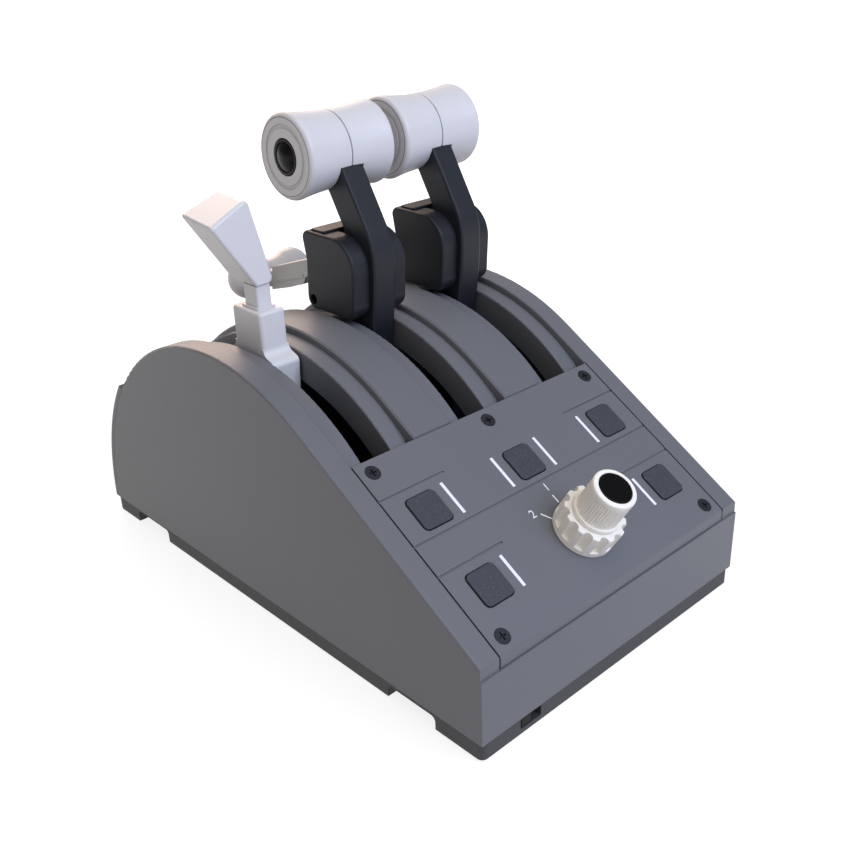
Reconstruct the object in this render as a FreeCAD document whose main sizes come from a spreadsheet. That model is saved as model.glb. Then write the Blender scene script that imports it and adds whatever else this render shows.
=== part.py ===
import FreeCAD, Part
import Sketcher
import math
import os

# Three-lever throttle quadrant for a desk: a wedge-backed housing with a round hump, two thrust
# levers with reverser levers, a speed brake lever and a sloping control panel.
# Millimetres. +X is the user's right, +Y away from the user, +Z up. The origin is on the desk, under
# the middle of the base. Lever pieces are drawn in the YZ plane, panel pieces in the panel's own plane.

SIZES = {
    # housing
    "body_width": 180.0,
    "body_depth": 300.0,
    "base_lift": 1.0,
    "base_top": 9.4,
    "base_inset": 0.6,
    "seam_gap": 0.3,
    "side_wall": 2.8,
    "shell_thick": 3.3,
    "front_drop": 6.02,
    "front_setback": 0.8,
    "slope_deg": 31.56,
    "hump_radius": 124.0,
    "hump_high": 8.1,
    "rear_step": 2.3,
    "rear_cover_thick": 3.0,
    "step_deg": 50.4,
    "edge_round": 1.2,
    # lever channels
    "rail_wide": 11.7,
    "rail_chamfer": 0.5,
    "plateau_chamfer": 0.8,
    "channel_half": 18.3,
    "channel_deep": 3.5,
    "trim_thick": 2.5,
    "trim_flange": 2.5,
    "trim_wall": 1.8,
    "trim_deep": 14.5,
    "trim_round": 0.8,
    "slot_half": 8.5,
    "channel_end_deg": 48.0,
    "slot_end_deg": 46.0,
    # control panel
    "panel_long": 100.9,
    "panel_margin": 11.9,
    "panel_thick": 3.0,
    "panel_gap": 0.8,
    "panel_lip": 5.6,
    "lip_thick": 2.6,
    "ledge_thick": 2.6,
    "ledge_reach": 3.1,
    "window_inset": 8.7,
    "window_low": 12.0,
    "window_margin": 11.1,
    "groove_wide": 0.9,
    "groove_deep": 0.6,
    "groove_low": 40.1,
    "groove_drop": 11.8,
    "groove_margin": 19.9,
    "groove_long": 37.6,
    "screw_inset": 7.0,
    "screw_low": 6.5,
    "screw_margin": 6.35,
    "screw_radius": 1.6,
    "screw_head": 3.7,
    "screw_long": 9.0,
    # push buttons of the panel
    "key_wide": 16.3,
    "key_high": 16.5,
    "key_corner": 2.5,
    "key_gap": 0.45,
    "key_row_low": 26.9,
    "key_row_margin": 32.9,
    "key_proud": 0.9,
    "key_tall": 5.1,
    "key_travel": 0.8,
    "board_thick": 1.6,
    "board_deep": 8.0,
    "switch_side": 6.2,
    # double knob
    "ring_radius": 14.9,
    "ring_high": 13.3,
    "ring_foot": 3.0,
    "flute_count": 12,
    "flute_radius": 2.3,
    "dial_radius": 10.3,
    "dial_flange": 11.5,
    "dial_rim": 10.3,
    "dial_high": 32.0,
    "rib_count": 48,
    "rib_radius": 0.5,
    "cap_radius": 7.8,
    "spindle_radius": 3.0,
    "ring_bore_clear": 2.0,
    # pivot
    "pivot_high": 16.0,
    "shaft_radius": 4.0,
    "hub_radius": 11.0,
    "run_clear": 0.05,
    "bracket_thick": 5.0,
    "bracket_inset": 12.0,
    # throttle levers
    "arm_half": 7.0,
    "arm_fit": 0.15,
    "arm_tilt_deg": 60.0,
    "arm_round": 1.4,
    "arm_bend": 30.0,
    "arm_sweep": 174.7,
    "grip_behind": 14.2,
    "grip_over": 77.7,
    "grip_gap": 3.8,
    "grip_waist": 18.9,
    "grip_radius": 20.9,
    "grip_rim_round": 2.5,
    "grip_seam": 0.2,
    "thumb_radius": 8.7,
    "thumb_dome": 7.2,
    "thumb_bore": 9.0,
    "pod_half": 17.3,
    "pod_ahead": 20.3,
    "pod_behind": 18.2,
    "pod_over": 40.4,
    "pod_clear": 0.4,
    "pod_round": 1.4,
    "latch_half": 15.2,
    "latch_start": 3.2,
    "latch_long": 10.8,
    "latch_proud": 0.9,
    "latch_gap": 0.3,
    # reverser levers
    "pin_behind": 12.9,
    "pin_over": 5.1,
    "pin_radius": 2.7,
    "pin_recess": 3.0,
    "tongue_half": 6.5,
    "tongue_eye": 5.6,
    "tongue_bead": 0.4,
    "bar_reach": 63.4,
    "bar_drop": 2.7,
    "bar_gap": 4.5,
    "bar_bulb": 11.0,
    "bar_waist": 7.5,
    "tang_half": 4.5,
    # speed brake lever
    "stem_half": 7.3,
    "stem_ahead": 12.3,
    "stem_behind": 10.6,
    "stem_over": 16.1,
    "stem_foot_rise": 46.0,
    "stem_round": 1.8,
    "stem_top_round": 1.6,
    "stem_block": 19.0,
    "neck_half": 4.0,
    "neck_ahead": 7.2,
    "neck_behind": 4.0,
    "neck_round": 1.2,
    "head_ahead": 8.4,
    "head_over": 30.8,
    "head_lean_deg": 19.5,
    "head_long": 32.7,
    "head_low_half": 4.9,
    "head_top_half": 9.6,
    "head_low_deep": 21.0,
    "head_top_deep": 25.3,
    "head_set_back": 3.1,
    "head_soft_round": 4.0,
    "head_front_round": 2.4,
    "head_crisp_round": 0.7,
}

doc = FreeCAD.newDocument("ThrottleQuadrant")
sheet = doc.addObject("Spreadsheet::Sheet", "Sizes")
for row, (name, number) in enumerate(SIZES.items(), start=1):
    sheet.set(f"A{row}", name)
    sheet.set(f"B{row}", str(number))
    sheet.setAlias(f"B{row}", name)
doc.recompute()


class Size:
    """A length or angle that carries its spreadsheet expression along with its value."""

    def __init__(self, value, text):
        self.value = float(value)
        self.text = text

    def __add__(self, other):
        other = size(other)
        return Size(self.value + other.value, f"({self.text} + {other.text})")

    def __sub__(self, other):
        other = size(other)
        return Size(self.value - other.value, f"({self.text} - {other.text})")

    def __mul__(self, other):
        other = size(other)
        return Size(self.value * other.value, f"({self.text} * {other.text})")

    def __truediv__(self, other):
        other = size(other)
        return Size(self.value / other.value, f"({self.text} / {other.text})")

    def __neg__(self):
        return size(0) - self

    def __radd__(self, other):
        return size(other) + self

    def __rsub__(self, other):
        return size(other) - self

    def __rmul__(self, other):
        return size(other) * self

    def __rtruediv__(self, other):
        return size(other) / self


def size(number):
    if isinstance(number, Size):
        return number
    return Size(number, f"({float(number)!r})")


def sine(angle):
    return Size(math.sin(math.radians(angle.value)), f"sin({angle.text})")


def cosine(angle):
    return Size(math.cos(math.radians(angle.value)), f"cos({angle.text})")


def root(number):
    return Size(math.sqrt(number.value), f"sqrt({number.text})")


class Sizes:
    """Every driving dimension of the spreadsheet, read by name."""

    def __getattr__(self, name):
        return Size(SIZES[name], f"Sizes.{name}")


z = Sizes()
ZERO = size(0)


def point(x, y):
    return size(x), size(y)


class Arc:
    """A minor arc to the next corner: its centre lies left (+1) or right (-1) of the way."""

    def __init__(self, radius, side):
        self.radius = size(radius)
        self.side = side


class Ring:
    """A full circle in a sketch."""

    def __init__(self, x, y, radius):
        self.centre = point(x, y)
        self.radius = size(radius)


def new_body(label):
    body = doc.addObject("PartDesign::Body", label)
    body.Label = label
    return body


def origin_feature(body, role):
    return [item for item in body.Origin.OriginFeatures if item.Role == role][0]


def pin_point(sk, index, position, corner):
    for kind, number in zip(("DistanceX", "DistanceY"), corner):
        place = sk.addConstraint(Sketcher.Constraint(kind, -1, 1, index, position, number.value))
        sk.setExpression(f"Constraints[{place}]", number.text)


def add_ring(sk, ring):
    x, y = ring.centre
    circle = Part.Circle(FreeCAD.Vector(x.value, y.value, 0), FreeCAD.Vector(0, 0, 1), ring.radius.value)
    index = sk.addGeometry(circle)
    pin_point(sk, index, 3, ring.centre)
    place = sk.addConstraint(Sketcher.Constraint("Radius", index, ring.radius.value))
    sk.setExpression(f"Constraints[{place}]", ring.radius.text)


def arc_middle(start, end, arc):
    chord = end - start
    left = FreeCAD.Vector(-chord.y, chord.x, 0).normalize() * arc.side
    height = math.sqrt(arc.radius.value ** 2 - (chord.Length / 2) ** 2)
    centre = (start + end) * 0.5 + left * height
    return centre - left * arc.radius.value


def add_loop(sk, loop):
    """Corners, with an Arc after a corner whose way to the next one is round."""
    corners = [item for item in loop if not isinstance(item, Arc)]
    arcs = {}
    for before, item in zip(loop, loop[1:]):
        if isinstance(item, Arc):
            arcs[corners.index(before)] = item
    ends = []
    for number, corner in enumerate(corners):
        after = corners[(number + 1) % len(corners)]
        start = FreeCAD.Vector(corner[0].value, corner[1].value, 0)
        end = FreeCAD.Vector(after[0].value, after[1].value, 0)
        if number not in arcs:
            index = sk.addGeometry(Part.LineSegment(start, end))
            ends.append((index, 1, 2))
            continue
        arc = arcs[number]
        index = sk.addGeometry(Part.Arc(start, arc_middle(start, end, arc), end))
        forward = sk.getPoint(index, 1).distanceToPoint(start) < sk.getPoint(index, 2).distanceToPoint(start)
        ends.append((index, 1, 2) if forward else (index, 2, 1))
        place = sk.addConstraint(Sketcher.Constraint("Radius", index, arc.radius.value))
        sk.setExpression(f"Constraints[{place}]", arc.radius.text)
    for number, (index, first, last) in enumerate(ends):
        next_index, next_first, next_last = ends[(number + 1) % len(ends)]
        sk.addConstraint(Sketcher.Constraint("Coincident", index, last, next_index, next_first))
        pin_point(sk, index, first, corners[number])


def sketch(body, role, loops, offset=None, tilted=False):
    """Closed loops on an origin plane, moved along its normal, or tilted into the panel's face."""
    sk = body.newObject("Sketcher::SketchObject", "Sketch")
    sk.AttachmentSupport = [(origin_feature(body, role), "")]
    sk.MapMode = "FlatFace"
    if offset is not None:
        sk.setExpression("AttachmentOffset.Base.z", size(offset).text)
    if tilted:
        tilt = FreeCAD.Rotation(FreeCAD.Vector(1, 0, 0), z.slope_deg.value)
        sk.AttachmentOffset = FreeCAD.Placement(FreeCAD.Vector(), tilt)
        sk.setExpression("AttachmentOffset.Rotation.Angle", z.slope_deg.text)
        sk.setExpression("AttachmentOffset.Base.y", slope_y.text)
        sk.setExpression("AttachmentOffset.Base.z", slope_z.text)
    for loop in loops:
        if isinstance(loop, Ring):
            add_ring(sk, loop)
        else:
            add_loop(sk, loop)
    return sk


def feature(body, kind, profile, length=None, middle=False, back=False, through=False):
    item = body.newObject(f"PartDesign::{kind}", kind)
    item.Profile = profile
    if through:
        item.Type = "ThroughAll"
    else:
        item.setExpression("Length", size(length).text)
    item.Midplane = middle
    item.Reversed = back
    return item


def pad(body, role, loops, length, offset=None, middle=False, back=False):
    return feature(body, "Pad", sketch(body, role, loops, offset), length, middle, back)


def pocket(body, role, loops, length=None, offset=None, middle=False, back=False, tilted=False):
    """A cut; its solid must lose volume, so a cut that points away shows at once."""
    doc.recompute()
    before = body.Shape.Volume
    profile = sketch(body, role, loops, offset, tilted)
    item = feature(body, "Pocket", profile, length, middle, back, through=length is None)
    doc.recompute()
    if body.Shape.Volume > before - 0.01:
        raise RuntimeError(f"a cut in {body.Label} removes nothing")
    return item


def turn(body, loops):
    """A solid of revolution about the body's own X axis, drawn in its XY plane."""
    profile = sketch(body, "XY_Plane", loops)
    item = body.newObject("PartDesign::Revolution", "Revolution")
    item.Profile = profile
    item.ReferenceAxis = (origin_feature(body, "X_Axis"), [""])
    item.Angle = 360.0
    return item


def pattern(body, kind, source, axis_role, count):
    item = body.newObject(f"PartDesign::{kind}", kind)
    item.Originals = [source]
    if kind == "PolarPattern":
        item.Axis = (origin_feature(body, axis_role), [""])
        item.Angle = 360.0
    else:
        item.Direction = (origin_feature(body, axis_role), [""])
    item.setExpression("Occurrences", count.text)
    body.Tip = item
    return item


def dress(body, kind, radius, wanted):
    """Fillet or chamfer on the edges of the tip that the given test picks."""
    doc.recompute()
    tip = body.Tip
    names = [f"Edge{number}" for number, edge in enumerate(tip.Shape.Edges, start=1) if wanted(edge)]
    if not names:
        raise RuntimeError(f"no edge to dress in {body.Label}")
    item = body.newObject(f"PartDesign::{kind}", kind)
    item.Base = (tip, names)
    item.setExpression("Radius" if kind == "Fillet" else "Size", size(radius).text)
    doc.recompute()
    return item


def near(first, second, slack=0.01):
    return abs(first - second) < slack


def place(body, x=ZERO, y=ZERO, height=ZERO, axis=None, angle=None):
    if axis is not None:
        body.Placement = FreeCAD.Placement(FreeCAD.Vector(), FreeCAD.Rotation(axis, angle.value))
        body.setExpression("Placement.Rotation.Angle", angle.text)
    for letter, number in zip("xyz", (x, y, height)):
        body.setExpression(f"Placement.Base.{letter}", size(number).text)


def box(x_low, x_high, y_low, y_high):
    return [point(x_low, y_low), point(x_high, y_low), point(x_high, y_high), point(x_low, y_high)]


def round_box(x_mid, y_mid, wide, high, corner):
    x_mid, y_mid, wide, high, corner = (size(item) for item in (x_mid, y_mid, wide, high, corner))
    left, right = x_mid - wide / 2, x_mid + wide / 2
    low, top = y_mid - high / 2, y_mid + high / 2
    bend = Arc(corner, 1)
    return [
        point(left + corner, low), point(right - corner, low), bend,
        point(right, low + corner), point(right, top - corner), bend,
        point(right - corner, top), point(left + corner, top), bend,
        point(left, top - corner), point(left, low + corner), bend,
    ]


# Places that many pieces share
front = -z.body_depth / 2
rear = z.body_depth / 2
half_width = z.body_width / 2
lever_pitch = half_width - z.rail_wide - z.channel_half
hump_y = rear - z.hump_radius - z.rear_step
hump_top = z.hump_high + z.hump_radius
slope_y = front + z.front_setback
slope_z = z.hump_high + (z.hump_radius + (slope_y - hump_y) * sine(z.slope_deg)) / cosine(z.slope_deg)
flat_long = (hump_y - z.hump_radius * sine(z.slope_deg) - slope_y) / cosine(z.slope_deg)
front_ledge_high = slope_z - z.front_drop
housing_low = z.base_top + z.seam_gap
ledge_radius = z.hump_radius - z.channel_deep
pivot_y = hump_y

panel_half = half_width - z.panel_margin
panel_end = z.panel_long + 0.5
under_panel = -(z.panel_thick + 0.2)
window_half = panel_half - z.window_inset
window_high = z.panel_long - z.window_margin
key_row_high = z.panel_long - z.key_row_margin
groove_high = z.panel_long - z.groove_margin
groove_mid = key_row_high - z.groove_drop
screw_side = panel_half - z.screw_inset
screw_high = z.panel_long - z.screw_margin
groove_start = panel_half - z.groove_long
bracket_out = half_width - z.bracket_inset

grip_half = lever_pitch / 2 - z.grip_gap
grip_y = pivot_y + z.grip_behind
grip_z = hump_top + z.grip_over
pod_front = pivot_y - z.pod_ahead
pod_rear = pivot_y + z.pod_behind
pod_top = hump_top + z.pod_over
pod_under = hump_top - z.pivot_high + z.pod_clear
latch_front = pivot_y + z.latch_start
latch_rear = latch_front + z.latch_long
pin_y = pivot_y + z.pin_behind
pin_z = hump_top + z.pin_over
bar_half = lever_pitch / 2 - z.bar_gap
bar_y = pin_y + z.bar_reach
bar_z = pin_z - z.bar_drop
stem_front = pivot_y - z.stem_ahead
stem_rear = pivot_y + z.stem_behind
stem_top = hump_top + z.stem_over
stem_foot = z.pivot_high + z.stem_foot_rise
neck_front = pivot_y - z.neck_ahead
neck_rear = pivot_y + z.neck_behind
head_y = pivot_y - z.head_ahead
head_z = hump_top + z.head_over


def on_slope(along, out):
    """A point of the side view, from its way up the slope and its height over it."""
    along, out = size(along), size(out)
    return point(slope_y + along * cosine(z.slope_deg) - out * sine(z.slope_deg),
                 slope_z + along * sine(z.slope_deg) + out * cosine(z.slope_deg))


def on_hump(radius, degrees):
    """A point of the side view on a circle about the hump's centre, degrees behind its top."""
    radius, degrees = size(radius), size(degrees)
    return point(hump_y + radius * sine(degrees), z.hump_high + radius * cosine(degrees))


def under_hump(radius, along):
    """A point of the side view on a circle about the hump's centre, below a way up the slope."""
    radius = size(radius)
    ahead = flat_long - along
    return on_slope(along, root(radius * radius - ahead * ahead) - z.hump_radius)


def channel_strip(inner, outer, start, end_deg):
    """A strip between two circles about the hump's centre, from a way up the slope to an angle behind."""
    inner, outer = size(inner), size(outer)
    return [
        under_hump(inner, start), Arc(inner, -1), on_hump(inner, end_deg),
        on_hump(outer, end_deg), Arc(outer, 1), under_hump(outer, start),
    ]


def lever(ahead, over):
    """A point of the side view, from the pivot's line and the top of the hump."""
    return point(pivot_y + ahead, hump_top + over)


def make_housing():
    body = new_body("housing")
    seat = z.hump_radius + z.rear_step - z.rear_cover_thick - 0.1
    seat_y = hump_y + root(seat * seat - (housing_low - z.hump_high) * (housing_low - z.hump_high))
    outline = [
        point(front, housing_low), point(front, front_ledge_high), point(slope_y, front_ledge_high),
        point(slope_y, slope_z), on_hump(z.hump_radius, -z.slope_deg), Arc(z.hump_radius, -1),
        on_hump(z.hump_radius, z.step_deg), on_hump(seat, z.step_deg), Arc(seat, -1),
        point(seat_y, housing_low),
    ]
    pad(body, "YZ_Plane", [outline], z.body_width, middle=True)
    dress(body, "Fillet", z.edge_round, lambda edge: on_rail(edge))
    inner = z.hump_radius - z.shell_thick
    deep = under_panel - z.ledge_thick
    ledge_end = panel_end + z.ledge_reach
    wall_y = front + z.side_wall
    rear_deg = z.step_deg + 2.5
    beyond = z.hump_radius + 8
    cavity = [
        point(wall_y, housing_low - 1), point(wall_y, front_ledge_high - 5.4), on_slope(9, deep),
        on_slope(ledge_end, deep), under_hump(inner, ledge_end), Arc(inner, -1),
        on_hump(inner, rear_deg), on_hump(beyond, rear_deg), point(hump_y + beyond, housing_low - 1),
    ]
    pocket(body, "YZ_Plane", [cavity], z.body_width - z.side_wall * 2, middle=True)
    recess = [
        point(front - 1, front_ledge_high), point(slope_y + z.lip_thick + 0.5, front_ledge_high),
        on_slope(5.6, under_panel), on_slope(panel_end, under_panel), on_slope(panel_end, 6),
        on_slope(-6, 6),
    ]
    pocket(body, "YZ_Plane", [recess], (panel_half + z.panel_gap) * 2, middle=True)
    window = [
        on_slope(z.window_low, -12), on_slope(window_high, -12),
        on_slope(window_high, 2), on_slope(z.window_low, 2),
    ]
    pocket(body, "YZ_Plane", [window], window_half * 2, middle=True)
    low, high = ledge_radius - z.trim_thick - 1, z.hump_radius + 8
    channel = [
        under_hump(low, panel_end), Arc(low, -1), on_hump(low, z.channel_end_deg),
        on_hump(high, z.channel_end_deg), Arc(high, 1), on_hump(high, -z.slope_deg), on_slope(panel_end, 8),
    ]
    for lane in (-1, 0, 1):
        pocket(body, "YZ_Plane", [channel], z.channel_half * 2, middle=False,
               offset=lever_pitch * lane - z.channel_half, back=True)
    dress(body, "Chamfer", z.plateau_chamfer, lambda edge: on_plateau(edge))
    dress(body, "Chamfer", z.rail_chamfer, lambda edge: on_skin_line(edge, lever_pitch + z.channel_half))
    screws = [Ring(x, y, z.screw_radius + 0.05) for x, y in screw_places()]
    pocket(body, "XY_Plane", screws, z.screw_long + 3, tilted=True)
    return body


def skin_height(spot):
    """How far a point of the side view lies over the slope or the hump."""
    tilt = math.radians(z.slope_deg.value)
    ahead, rise = spot.y - slope_y.value, spot.z - slope_z.value
    if ahead * math.cos(tilt) + rise * math.sin(tilt) < flat_long.value:
        return rise * math.cos(tilt) - ahead * math.sin(tilt)
    return math.hypot(spot.y - hump_y.value, spot.z - z.hump_high.value) - z.hump_radius.value


def edge_middle(edge):
    return edge.valueAt((edge.FirstParameter + edge.LastParameter) / 2)


def on_skin_line(edge, side):
    """An edge of the outer skin that runs from front to rear at this distance from the middle."""
    box_ = edge.BoundBox
    along = near(box_.XMin, box_.XMax) and near(abs(box_.XMin), side.value)
    return along and near(skin_height(edge_middle(edge)), 0)


def on_plateau(edge):
    """Long edges and front ends of the two plateaus between the channels."""
    sides = (z.channel_half, lever_pitch - z.channel_half)
    if any(on_skin_line(edge, side) for side in sides):
        return True
    box_ = edge.BoundBox
    across = near(box_.YMin, box_.YMax) and near(box_.XLength, (sides[1] - sides[0]).value)
    return across and near(box_.YMin, on_slope(panel_end, 0)[0].value)


def on_rail(edge):
    box_ = edge.BoundBox
    side = near(abs(box_.XMin), half_width.value) and near(box_.XMin, box_.XMax)
    over = box_.ZMin > slope_z.value - 0.1 and box_.YMin < on_hump(z.hump_radius, z.step_deg)[0].value - 5
    return side and over


def make_slot_trim(label, lane):
    """A floor of the channel that carries the slot, with deep walls hanging beside it."""
    body = new_body(label)
    low = ledge_radius - z.trim_thick
    deep = ledge_radius - z.trim_deep
    end_deg = z.channel_end_deg + 1.5
    start = panel_end + 0.3
    flange_start = panel_end + z.ledge_reach + 0.3
    floor = channel_strip(low, ledge_radius, start, end_deg)
    pad(body, "YZ_Plane", [floor], (z.channel_half - 0.3) * 2, middle=True)
    flange = channel_strip(low, ledge_radius, flange_start, end_deg)
    pad(body, "YZ_Plane", [flange], (z.channel_half + z.trim_flange) * 2, middle=True)
    walls = channel_strip(deep, low + 0.5, start, end_deg)
    pad(body, "YZ_Plane", [walls], (z.slot_half + z.trim_wall) * 2, middle=True)
    slot = channel_strip(deep - 3, ledge_radius + 3, start - 4, z.slot_end_deg)
    pocket(body, "YZ_Plane", [slot], z.slot_half * 2, middle=True)
    dress(body, "Fillet", z.trim_round, lambda edge: on_slot_rim(edge))
    place(body, x=lever_pitch * lane)
    return body


def on_slot_rim(edge):
    box_ = edge.BoundBox
    spot = edge_middle(edge)
    top = near(math.hypot(spot.y - hump_y.value, spot.z - z.hump_high.value), ledge_radius.value)
    side = near(box_.XMin, box_.XMax) and near(abs(box_.XMin), z.slot_half.value)
    across = near(box_.YMin, box_.YMax) and near(box_.XLength, z.slot_half.value * 2)
    return top and (side or across)


def make_rear_cover():
    body = new_body("rear_cover")
    outer = z.hump_radius + z.rear_step
    inner = outer - z.rear_cover_thick
    low = housing_low - z.hump_high
    start = z.step_deg + 0.2
    strip = [
        on_hump(inner, start), Arc(inner, -1), point(hump_y + root(inner * inner - low * low), housing_low),
        point(hump_y + root(outer * outer - low * low), housing_low), Arc(outer, 1), on_hump(outer, start),
    ]
    pad(body, "YZ_Plane", [strip], z.body_width, middle=True)
    pocket(body, "XZ_Plane", [round_box(0, usb_z, 10.2, 4.6, 1.6)], z.body_depth / 2 + 5)
    return body


usb_z = size(29.3)


def make_base_tray():
    body = new_body("base_tray")
    wide = z.body_width - z.base_inset * 2
    deep = z.body_depth - z.base_inset * 2
    thick = z.base_top - z.base_lift
    pad(body, "XY_Plane", [round_box(0, 0, wide, deep, 3)], thick, offset=z.base_lift)
    for low, high, top in ((front + 28, front + 58, 7.3), (rear - 57, rear - 24, 8.0)):
        pocket(body, "YZ_Plane", [foot_channel(low, high, top)], z.body_width + 10, middle=True)
    tub = round_box(0, 1, wide - 10, z.body_depth - 124, 6)
    pocket(body, "XY_Plane", [tub], thick - 2.5, offset=z.base_top)
    window = round_box(-lever_pitch, (z.base_lift + z.base_top) / 2 + 0.8, 12.8, 5.2, 0.8)
    pocket(body, "XZ_Plane", [window], 10, offset=z.body_depth / 2)
    bosses = [Ring(x * 50, y * 50, 5.5) for x in (-1, 1) for y in (-1, 1)]
    pad(body, "XY_Plane", bosses, z.base_top - z.base_lift - 1, offset=z.base_lift + 1)
    posts = [Ring(x * 26, y, 3.5) for x in (-1, 1) for y in (rear - 49, rear - 11)]
    pad(body, "XY_Plane", posts, 27.0 - z.base_top, offset=z.base_top - 1)
    threads = [Ring(x * 50, y * 50, 2.1) for x in (-1, 1) for y in (-1, 1)]
    pocket(body, "XY_Plane", threads, z.base_top - z.base_lift - 1.4, offset=z.base_lift, back=True)
    return body


def foot_channel(low, high, top):
    """The section of a channel across the underside, with rounded upper corners."""
    corner = 2.5
    bend = Arc(corner, 1)
    return [
        point(low, 0), point(high, 0), point(high, top - corner), bend, point(high - corner, top),
        point(low + corner, top), bend, point(low, top - corner),
    ]


def make_feet():
    body = new_body("rubber_feet")
    rows = (front + 14, ZERO, rear - 12)
    pads = [round_box((half_width - 20) * x, y, 26, 14, 3) for x in (-1, 1) for y in rows]
    pad(body, "XY_Plane", pads, z.base_lift)
    return body


def make_panel():
    body = new_body("control_panel")
    down_s, down_n = -sine(z.slope_deg), -cosine(z.slope_deg)
    lip = z.panel_lip
    side = [
        point(0.6, 0), point(z.panel_long, 0), point(z.panel_long, -z.panel_thick), point(5, -z.panel_thick),
        point(down_s * lip - down_n * z.lip_thick, down_n * lip + down_s * z.lip_thick),
        point(down_s * lip, down_n * lip), point(down_s * 0.7, down_n * 0.7),
    ]
    pad(body, "YZ_Plane", [side], panel_half * 2, middle=True)
    hole_wide = z.key_wide + z.key_gap * 2
    hole_high = z.key_high + z.key_gap * 2
    holes = [round_box(x, y, hole_wide, hole_high, z.key_corner + z.key_gap) for x, y in key_places()]
    pocket(body, "XY_Plane", holes)
    pocket(body, "XY_Plane", [Ring(0, z.key_row_low, z.spindle_radius * 2)])
    half_groove = z.groove_wide / 2
    edge = panel_half + 1
    grooves = [box(-edge, edge, groove_mid - half_groove, groove_mid + half_groove)]
    for height in (z.groove_low, groove_high):
        grooves.append(box(groove_start, edge, height - half_groove, height + half_groove))
        grooves.append(box(-edge, -groove_start, height - half_groove, height + half_groove))
    pocket(body, "XY_Plane", grooves, z.groove_deep)
    screws = [Ring(x, y, z.screw_radius + 0.1) for x, y in screw_places()]
    pocket(body, "XY_Plane", screws)
    dress(body, "Chamfer", z.screw_head - z.screw_radius, lambda edge: screw_mouth(edge))
    posts = [Ring(x * 36, y, 2.6) for x in (-1, 1) for y in (z.window_low + 3.5, window_high - 3.5)]
    pad(body, "XY_Plane", posts, z.board_deep - z.panel_thick + 0.5, offset=-z.panel_thick + 0.5, back=True)
    on_panel(body)
    return body


def screw_mouth(edge):
    curve = edge.Curve
    ring = hasattr(curve, "Radius") and near(curve.Radius, z.screw_radius.value + 0.1, 0.02)
    return ring and near(edge.BoundBox.ZMax, 0) and near(edge.BoundBox.ZMin, 0)


def key_places():
    high = [point(x, key_row_high) for x in (-lever_pitch, ZERO, lever_pitch)]
    low = [point(x, z.key_row_low) for x in (-lever_pitch, lever_pitch)]
    return high + low


def screw_places():
    low = [point(x, z.screw_low) for x in (-screw_side, screw_side)]
    return low + [point(x, screw_high) for x in (-screw_side, ZERO, screw_side)]


def on_panel(body, x=ZERO):
    place(body, x=x, y=slope_y, height=slope_z, axis=FreeCAD.Vector(1, 0, 0), angle=z.slope_deg)


def make_panel_screws():
    body = new_body("panel_screws")
    sink = z.screw_head - z.screw_radius
    pad(body, "XY_Plane", [Ring(x, y, z.screw_head) for x, y in screw_places()], sink, back=True)
    dress(body, "Chamfer", sink - 0.02, lambda edge: near(edge.BoundBox.ZMax, -sink.value))
    pad(body, "XY_Plane", [Ring(x, y, z.screw_radius) for x, y in screw_places()],
        z.screw_long - 1, offset=-1, back=True)
    arm, thin = 1.9, 0.35
    cross = []
    for x, y in screw_places():
        cross.append([
            point(x - arm, y - thin), point(x - thin, y - thin), point(x - thin, y - arm),
            point(x + thin, y - arm), point(x + thin, y - thin), point(x + arm, y - thin),
            point(x + arm, y + thin), point(x + thin, y + thin), point(x + thin, y + arm),
            point(x - thin, y + arm), point(x - thin, y + thin), point(x - arm, y + thin),
        ])
    pocket(body, "XY_Plane", cross, 1.2)
    on_panel(body)
    return body


def make_key(number, x, y):
    body = new_body(f"panel_key_{number}")
    low = z.key_proud - z.key_tall
    pad(body, "XY_Plane", [round_box(x, y, z.key_wide, z.key_high, z.key_corner)], z.key_tall, offset=low)
    dress(body, "Fillet", 0.5, lambda edge: near(edge.BoundBox.ZMin, z.key_proud.value))
    on_panel(body)
    return body


def make_panel_board():
    body = new_body("panel_board")
    middle = (z.window_low + window_high) / 2
    plate = round_box(0, middle, window_half * 2 + 6, window_high - z.window_low + 2, 2)
    pad(body, "XY_Plane", [plate], z.board_thick, offset=-z.board_deep, back=True)
    on_panel(body)
    return body


def make_panel_switches():
    body = new_body("panel_switches")
    top = z.key_proud - z.key_tall - z.key_travel - 0.2
    side = z.switch_side
    blocks = [box(x - side / 2, x + side / 2, y - side / 2, y + side / 2) for x, y in key_places()]
    pad(body, "XY_Plane", blocks, z.board_deep + top, offset=-z.board_deep)
    on_panel(body)
    return body


def make_encoder():
    body = new_body("encoder")
    y = z.key_row_low
    pad(body, "XY_Plane", [round_box(0, y, 14, 14, 1)], z.board_deep - z.panel_thick - 0.1,
        offset=-z.board_deep)
    pad(body, "XY_Plane", [Ring(0, y, 4.5)], z.panel_thick + 1.6, offset=-z.panel_thick - 0.6)
    pad(body, "XY_Plane", [Ring(0, y, z.spindle_radius)], 24, offset=0.5)
    on_panel(body)
    return body


def on_knob(body):
    """Knob pieces turn about their own Z axis, which stands on the panel."""
    y = slope_y + z.key_row_low * cosine(z.slope_deg)
    height = slope_z + z.key_row_low * sine(z.slope_deg)
    place(body, y=y, height=height, axis=FreeCAD.Vector(1, 0, 0), angle=z.slope_deg)


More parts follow.
